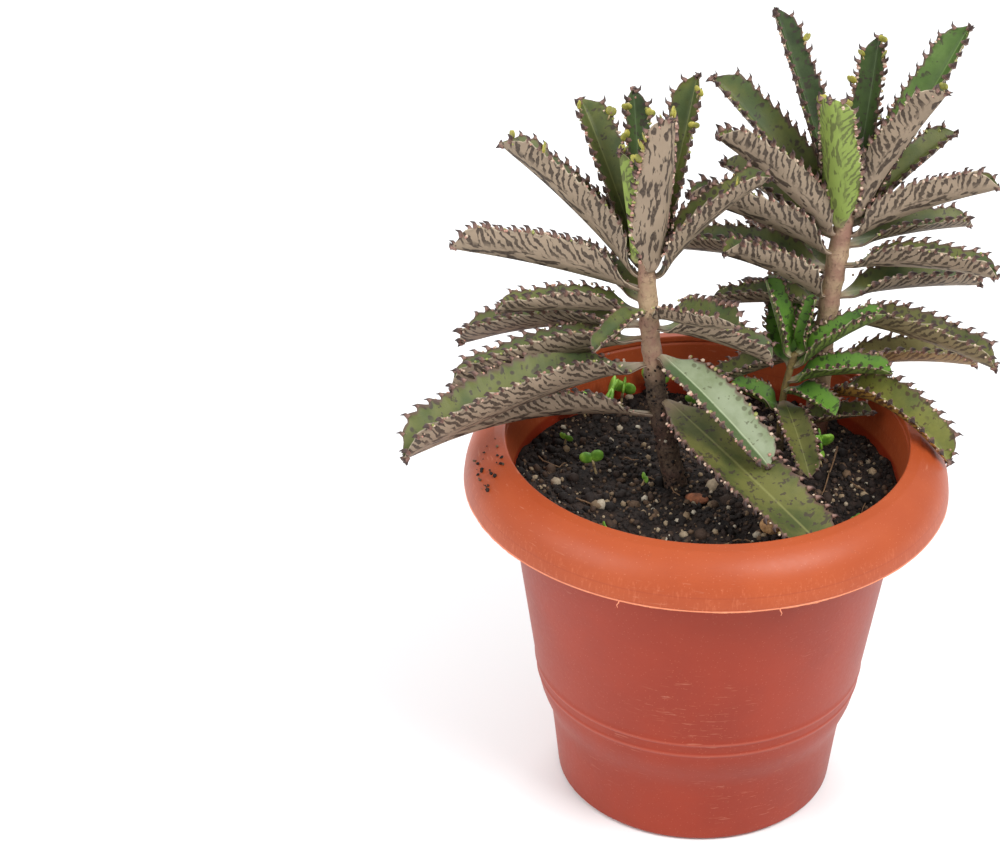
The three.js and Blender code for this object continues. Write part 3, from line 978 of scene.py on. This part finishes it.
def make_flash(rim):
    """The thin ragged edge that moulding left along the lip, with two longer burrs."""
    finish = Finish("moulding flash", Specular_IOR_Level=0.5)
    fine = finish.noise(finish.place(), 700, 3)
    colour = finish.mix(fine, srgb(232, 146, 106), srgb(206, 110, 74))
    finish.finish(Base_Color=colour, Roughness=0.3 + fine * 0.2)
    lip = max(rim, key=lambda point: point.x)
    bm = bmesh.new()
    ring = bmesh.ops.create_circle(bm, segments=900, radius=lip.x - 0.35 * MM)["verts"]
    bmesh.ops.translate(bm, vec=UP * (lip.z + 0.25 * MM), verts=ring)
    grown = bmesh.ops.extrude_edge_only(bm, edges=bm.edges)["geom"]
    edge = [item for item in grown if isinstance(item, bmesh.types.BMVert)]
    for vert in edge:
        out = vert.co.to_2d().normalized().to_3d()
        rough = noise.noise(vert.co * 260) * 0.5 + noise.noise(vert.co * 900) * 0.35
        patch = ease(-0.15, 0.35, noise.noise(vert.co * 40))
        reach = 0.5 + 0.45 * max(rough + 0.35, 0) * patch
        vert.co += out * reach * 0.5 * MM - UP * (0.25 + reach) * MM
    bmesh.ops.recalc_face_normals(bm, faces=bm.faces[:])
    bmesh.ops.solidify(bm, geom=bm.faces[:], thickness=0.18 * MM)
    for angle, curl in BURRS:
        turn = Matrix.Rotation(math.radians(angle), 3, "Z")
        places = ((-0.3, 0, 0), (0.1, 0.2 * curl, -1.2), (0.0, 0.9 * curl, -2.4), (-0.1, 0.5 * curl, -3.6))
        points = [turn @ (Vector(place) * MM + Vector((lip.x, 0, lip.z))) for place in places]
        strand(bm, points, (0.3 * MM, 0.26 * MM, 0.2 * MM, 0.08 * MM))
    new_piece("rim_flash", bm, [finish.material])


class KALANCHOE_OT_pot(bpy.types.Operator):
    """Replace the CAD pot by a turned one with a moulded floor, mouth band and flash"""
    bl_idname = "kalanchoe.pot"
    bl_label = "Pot"

    def execute(self, context):
        make_flash(make_pot(context.scene.kalanchoe_pot))
        return {"FINISHED"}


# ---------------------------------------------------------------- potting mix

def soil_finish():
    """Near-black peat with damp, brown and dusty patches."""
    finish = Finish("potting mix", Specular_IOR_Level=0.25)
    place = finish.place()
    clump = finish.noise(place, 130, 4, 0.65)
    fine = finish.noise(place, 900, 3, 0.7)
    colour = finish.mix(finish.step(clump, 0.35, 0.7), srgb(24, 19, 17), srgb(54, 42, 36))
    colour = finish.mix(finish.step(fine, 0.6, 0.72) * 0.5, colour, srgb(92, 74, 60))
    return finish.finish(Base_Color=colour, Roughness=0.75 + fine * 0.2,
                         Normal=finish.bump(clump + fine * 0.5, 1.2 * MM))


def grain_finish():
    """Crumbs: dark peat, brown bark, tan grit and a few pale stones, one tone to each."""
    finish = Finish("crumbs and grit", Specular_IOR_Level=0.3)
    tone = finish.attribute("tone")
    fine = finish.noise(finish.place(), 1200, 2, 0.6)
    colour = finish.node("ShaderNodeValToRGB", {"stops": (
        (0.0, srgb(20, 16, 15)), (0.5, srgb(40, 31, 27)), (0.7, srgb(72, 54, 42)),
        (0.86, srgb(112, 88, 66)), (0.94, srgb(168, 146, 116)), (1.0, srgb(206, 196, 176)))}, {"Fac": tone})
    colour = finish.mix(fine * 0.6, colour, srgb(34, 26, 22))
    return finish.finish(Base_Color=colour, Roughness=0.65 + fine * 0.3,
                         Normal=finish.bump(fine, 0.3 * MM))


class Ground:
    """The surface of the mix, for things that lie on it."""

    def __init__(self, bm):
        self.tree = BVHTree.FromBMesh(bm)

    def height(self, x, y):
        hit = self.tree.ray_cast(Vector((x, y, 0.3)), Vector((0, 0, -1)))[0]
        return hit.z if hit else None


def make_soil(finish):
    """A fine round surface laid over the CAD mix, with clods pressed into it."""
    low, high = (Vector(corner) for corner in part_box("soil"))
    source = merged_copy("soil")
    cad = Ground(source)
    source.free()
    radius = high.x + 0.9 * MM
    bm = bmesh.new()
    grid = bmesh.ops.create_grid(bm, x_segments=150, y_segments=150, size=1)["verts"]
    for vert in grid:
        u, v = vert.co.x, vert.co.y
        x = radius * u * math.sqrt(1 - v * v / 2)
        y = radius * v * math.sqrt(1 - u * u / 2)
        inner = Vector((x, y, 0)) * 0.985
        height = max(cad.height(inner.x, inner.y) or 0, high.z - 11 * MM)
        here = Vector((x, y, height))
        clods = noise.fractal(here * 90, 0.8, 2.1, 4) * 1.1 + noise.noise(here * 420) * 0.35
        vert.co = Vector((x, y, height + clods * MM))
    ground = Ground(bm)
    border = [edge for edge in bm.edges if edge.is_boundary]
    grown = bmesh.ops.extrude_edge_only(bm, edges=border)["geom"]
    for item in grown:
        if isinstance(item, bmesh.types.BMVert):
            item.co = Vector((item.co.x * 0.68, item.co.y * 0.68, low.z + 0.3 * MM))
    bmesh.ops.holes_fill(bm, edges=[item for item in grown if isinstance(item, bmesh.types.BMEdge)
                                    and item.is_boundary], sides=0)
    new_piece("soil_bed", bm, [finish], ["soil"])
    return ground, radius


class Grit:
    """Many rough little grains, each one shape turned and squashed its own way."""

    def __init__(self, rng):
        self.rng = rng
        self.bm = bmesh.new()
        self.shades = []
        seed = bmesh.new()
        blob(seed, Matrix())
        self.grain = bpy.data.meshes.new("grain")
        seed.to_mesh(self.grain)
        seed.free()

    def add(self, place, size):
        rng = self.rng
        axis = Vector((rng.uniform(-1, 1), rng.uniform(-1, 1), rng.uniform(-1, 1)))
        matrix = frame_matrix(place, axis, UP, [size * rng.uniform(0.35, 0.75) for _ in range(3)])
        copy = self.grain.copy()
        copy.transform(matrix)
        self.bm.from_mesh(copy)
        bpy.data.meshes.remove(copy)
        self.shades.append(rng.random() ** 1.2)

    def scatter(self, ground, radius, count, sizes):
        for _ in range(count):
            reach, angle = radius * math.sqrt(self.rng.random()) * 0.985, self.rng.uniform(0, 2 * math.pi)
            x, y = reach * math.cos(angle), reach * math.sin(angle)
            size = self.rng.uniform(*sizes) * MM
            self.add(Vector((x, y, ground.height(x, y) + size * 0.15)), size)

    def piece(self, name, finish):
        tone = self.bm.verts.layers.float.new("tone")
        each = len(self.grain.vertices)
        for number, vert in enumerate(self.bm.verts):
            vert[tone] = self.shades[number // each]
        new_piece(name, self.bm, [finish])


def rim_height(reach):
    """Top of the rolled rim at a distance from the pot's axis, from the CAD rim's box."""
    low, high = (Vector(corner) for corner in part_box("pot_rim"))
    mouth = high.x - 16.8 * MM
    share = min(max((reach - mouth) / (high.x - mouth), 0), 1)
    return low.z + (high.z - low.z) * math.sqrt(1 - share * share)


def make_grains(settings, ground, radius, finish):
    rng = random.Random("grains")
    grit = Grit(rng)
    grit.scatter(ground, radius, settings.fine, (0.7, 1.5))
    grit.scatter(ground, radius, settings.medium, (1.5, 2.8))
    grit.scatter(ground, radius, settings.coarse, (2.8, 5.0))
    for _ in range(30):
        angle, reach = math.radians(rng.gauss(197, 5)), rng.uniform(86, 97) * MM
        size = rng.uniform(0.5, 1.5) * MM
        place = Vector((reach * math.cos(angle), reach * math.sin(angle), rim_height(reach) + size * 0.2))
        grit.add(place, size)
    stem = Stem("left")
    for _ in range(240):
        height = stem.knots[1] + 58 * MM * rng.random() ** 1.3
        angle = rng.uniform(0, 2 * math.pi)
        side = Vector((math.cos(angle), math.sin(angle), 0))
        grit.add(stem.centre(height) + side * (stem.radius(height) * 0.97), rng.uniform(0.5, 1.4) * MM)
    grit.piece("soil_grains", finish)


def make_stone(node, light, dark):
    """A CAD stone with its facets rounded and roughened."""
    finish = Finish(node + " stone", Specular_IOR_Level=0.3)
    cloud = finish.noise(finish.place(), 420, 4, 0.65)
    finish.finish(Base_Color=finish.mix(finish.step(cloud, 0.35, 0.65), light, dark),
                  Roughness=0.7 + cloud * 0.2, Normal=finish.bump(cloud, 0.6 * MM))
    bm = merged_copy(node)
    bmesh.ops.subdivide_edges(bm, edges=bm.edges, cuts=2, use_grid_fill=True, smooth=0.6)
    for vert in bm.verts:
        vert.co += vert.normal * noise.noise(vert.co * 300) * 0.5 * MM
    new_piece(node + "_stone", bm, [finish.material], [node])


def strand(bm, points, radii, sides=6):
    """A thin stalk, root or twig through points."""
    ring = bmesh.ops.create_circle(bm, segments=sides, radius=1)["verts"]
    units = [vert.co.copy() for vert in ring]
    edges = list({edge for vert in ring for edge in vert.link_edges})
    made = list(ring)
    for step, (point, radius) in enumerate(zip(points, radii)):
        if step:
            grown = bmesh.ops.extrude_edge_only(bm, edges=edges)["geom"]
            ring = [item for item in grown if isinstance(item, bmesh.types.BMVert)]
            edges = [item for item in grown if isinstance(item, bmesh.types.BMEdge)]
            made += ring
        ahead = points[min(step + 1, len(points) - 1)] - points[max(step - 1, 0)]
        matrix = frame_matrix(point, ahead, UP if abs(ahead.normalized().z) < 0.9 else Vector((1, 0, 0)),
                              (radius, radius, 1))
        for vert, unit in zip(ring, units):
            vert.co = matrix @ unit
    return made


# Seedlings in the mix: place in mm, height, leaf size, pairs of leaves
SEEDLINGS = (
    (-45, 2, 5, 6.5, 1), (-26, -7, 3, 3.5, 1), (-45, 58, 8, 10, 3), (-52, 50, 6, 8, 2), (-27, 70, 8, 8, 1), (-38, 66, 6, 7, 2), (2, 14, 4, 4, 1),
    (17, -10, 3, 4.5, 1), (26, 62, 4, 5.5, 2), (47, 22, 10, 8, 3), (49, 12, 4, 5, 1), (-60, 25, 4, 4, 1),
    (-40, -48, 3, 3, 1), (60, -30, 3, 3.4, 1), (8, 40, 4, 4.5, 1), (-8, 62, 3, 4, 1),
)


def make_seedlings(ground, finish):
    rng = random.Random("seedlings")
    bm = bmesh.new()
    tone = bm.verts.layers.float.new("tone")
    for x, y, tall, size, pairs in SEEDLINGS:
        foot = Vector((x, y, 0)) * MM
        foot.z = ground.height(foot.x, foot.y) - 1 * MM
        lean = Vector((rng.uniform(-0.3, 0.3), rng.uniform(-0.5, 0.1), 1)).normalized()
        top = foot + lean * (tall + 1) * MM
        stalk = strand(bm, [foot, foot.lerp(top, 0.5), top], [0.6 * MM, 0.5 * MM, 0.4 * MM])
        paint(stalk, 0, tone, 0.3)
        for pair in range(pairs):
            turn = rng.uniform(0, math.pi) + pair * math.pi / 2
            side = Vector((math.cos(turn), math.sin(turn), 0))
            reach = size * (0.9 - 0.15 * pair) * MM
            place = foot.lerp(top, 1 - 0.28 * (pairs - 1 - pair) / pairs) + UP * pair * 0.6 * MM
            make_plantlet(bm, place, lean, side, reach, tone, 0, 1.6)
    new_piece("seedlings", bm, [finish])


# Roots and twigs that lie on the mix: points in mm, radius in mm
TWIGS = (
    (((-16, 10), (-12, 2), (-14, -8), (-10, -16)), 0.55), (((-24, 0), (-18, -3), (-12, -10)), 0.4),
    (((-34, 16), (-28, 12), (-24, 14)), 0.45), (((-6, 26), (2, 22), (6, 24)), 0.4),
    (((55, 30), (52, 12), (48, -8)), 0.5), (((20, -28), (28, -22), (34, -26)), 0.5),
    (((-52, -20), (-44, -26), (-38, -24)), 0.45), (((8, -52), (16, -48), (20, -50)), 0.4),
    (((-20, 48), (-8, 44), (0, 50)), 0.5), (((60, 4), (66, -8), (64, -18)), 0.4),
    (((-70, 12), (-62, 6), (-58, 10)), 0.4), (((26, -66), (34, -62), (42, -63)), 0.45),
)


def make_twigs(ground):
    finish = Finish("twigs and roots", Specular_IOR_Level=0.3)
    cloud = finish.noise(finish.place(), 500, 3, 0.6)
    finish.finish(Base_Color=finish.mix(cloud, srgb(58, 40, 32), srgb(150, 118, 86)),
                  Roughness=0.7 + cloud * 0.2, Normal=finish.bump(cloud, 0.3 * MM))
    rng = random.Random("twigs")
    bm = bmesh.new()
    for places, radius in TWIGS:
        line = []
        knots = list(range(len(places)))
        steps = (len(places) - 1) * 4
        flat = [Vector((x, y, 0)) for x, y in places]
        for step in range(steps + 1):
            point = hermite(knots, flat, step * (len(places) - 1) / steps) * MM
            point.z = ground.height(point.x, point.y) + (radius + rng.uniform(0.1, 0.9)) * MM
            line.append(point)
        strand(bm, line, [radius * MM * (1 - 0.5 * i / steps) for i in range(steps + 1)])
    bmesh.ops.holes_fill(bm, edges=[edge for edge in bm.edges if edge.is_boundary], sides=0)
    new_piece("twigs", bm, [finish.material])


class KALANCHOE_OT_soil(bpy.types.Operator):
    """Lay the potting mix, its crumbs, stones, twigs and seedlings"""
    bl_idname = "kalanchoe.soil"
    bl_label = "Potting mix"

    def execute(self, context):
        ground, radius = make_soil(soil_finish())
        make_grains(context.scene.kalanchoe_soil, ground, radius, grain_finish())
        make_stone("pebble", srgb(196, 154, 106), srgb(150, 112, 76))
        make_stone("chip", srgb(150, 92, 62), srgb(108, 66, 46))
        make_twigs(ground)
        make_seedlings(ground, plantlet_finish("seedling green", srgb(132, 178, 62), srgb(86, 132, 40)))
        return {"FINISHED"}


# ---------------------------------------------------------------- stage

def area_light(name, place, aim, size, watts):
    light = bpy.data.lights.new(name, "AREA")
    light.shape = "RECTANGLE"
    light.size, light.size_y = size
    light.energy = watts
    lamp = bpy.data.objects.new(name, light)
    lamp.location = place
    lamp.rotation_euler = (Vector(aim) - Vector(place)).to_track_quat("-Z", "Y").to_euler()
    bpy.context.scene.collection.objects.link(lamp)


class KALANCHOE_OT_stage(bpy.types.Operator):
    """Set up the pale floor, the soft lights and the camera"""
    bl_idname = "kalanchoe.stage"
    bl_label = "Stage"

    def execute(self, context):
        scene = context.scene
        settings = scene.kalanchoe_stage
        finish = Finish("pale floor", Specular_IOR_Level=0.2)
        cloud = finish.noise(finish.place(), 3, 2)
        finish.finish(Base_Color=finish.mix(cloud, (0.86, 0.86, 0.86), (0.88, 0.88, 0.88)), Roughness=0.8)
        bm = bmesh.new()
        bmesh.ops.create_grid(bm, x_segments=1, y_segments=1, size=6)
        mesh = bpy.data.meshes.new("floor")
        bm.to_mesh(mesh)
        bm.free()
        mesh.materials.append(finish.material)
        floor = bpy.data.objects.new("floor", mesh)
        scene.collection.objects.link(floor)

        world = bpy.data.worlds.new("studio")
        world.use_nodes = True
        world.node_tree.nodes["Background"].inputs["Color"].default_value = (0.96, 0.98, 1, 1)
        world.node_tree.nodes["Background"].inputs["Strength"].default_value = 0.75
        scene.world = world
        area_light("key", (0.9, -0.7, 1.5), (0, 0, 0.2), (0.8, 0.8), 26)
        area_light("fill", (-1.1, -0.8, 1.1), (0, 0, 0.2), (0.9, 0.9), 13)
        area_light("back", (-0.2, 1.4, 1.4), (0, 0, 0.25), (1.2, 0.6), 14)

        camera = bpy.data.cameras.new("camera")
        camera.lens = settings.lens
        camera.sensor_width = 36
        camera.clip_end = 20
        holder = bpy.data.objects.new("camera", camera)
        holder.location = (0, -settings.ahead, settings.height)
        holder.rotation_euler = (math.pi / 2 - settings.tilt, 0, settings.turn)
        scene.collection.objects.link(holder)
        scene.camera = holder
        scene.view_settings.view_transform = "Standard"
        return {"FINISHED"}


# ---------------------------------------------------------------- add-on

GROUPS = {
    "kalanchoe_leaves": LeafSettings,
    "kalanchoe_pot": PotSettings,
    "kalanchoe_soil": SoilSettings,
    "kalanchoe_stage": StageSettings,
}
OPERATORS = (KALANCHOE_OT_pot, KALANCHOE_OT_soil, KALANCHOE_OT_stems, KALANCHOE_OT_leaves, KALANCHOE_OT_stage)


class KALANCHOE_PT_panel(bpy.types.Panel):
    """Builds the plant, one group of pieces at a time"""
    bl_idname = "KALANCHOE_PT_panel"
    bl_label = "Potted kalanchoe"
    bl_space_type = "VIEW_3D"
    bl_region_type = "UI"
    bl_category = "Kalanchoe"

    def draw(self, context):
        for group, kind in GROUPS.items():
            for name in kind.__annotations__:
                self.layout.prop(getattr(context.scene, group), name)
        for operator in OPERATORS:
            self.layout.operator(operator.bl_idname)


def register():
    for kind in (*GROUPS.values(), *OPERATORS, KALANCHOE_PT_panel):
        bpy.utils.register_class(kind)
    for group, kind in GROUPS.items():
        setattr(bpy.types.Scene, group, bpy.props.PointerProperty(type=kind))


def unregister():
    for group in GROUPS:
        delattr(bpy.types.Scene, group)
    for kind in (KALANCHOE_PT_panel, *reversed(OPERATORS), *reversed(GROUPS.values())):
        bpy.utils.unregister_class(kind)


def main():
    register()
    bpy.ops.kalanchoe.pot()
    bpy.ops.kalanchoe.soil()
    bpy.ops.kalanchoe.stems()
    bpy.ops.kalanchoe.leaves()
    bpy.ops.kalanchoe.stage()


if __name__ == "__main__":
    main()
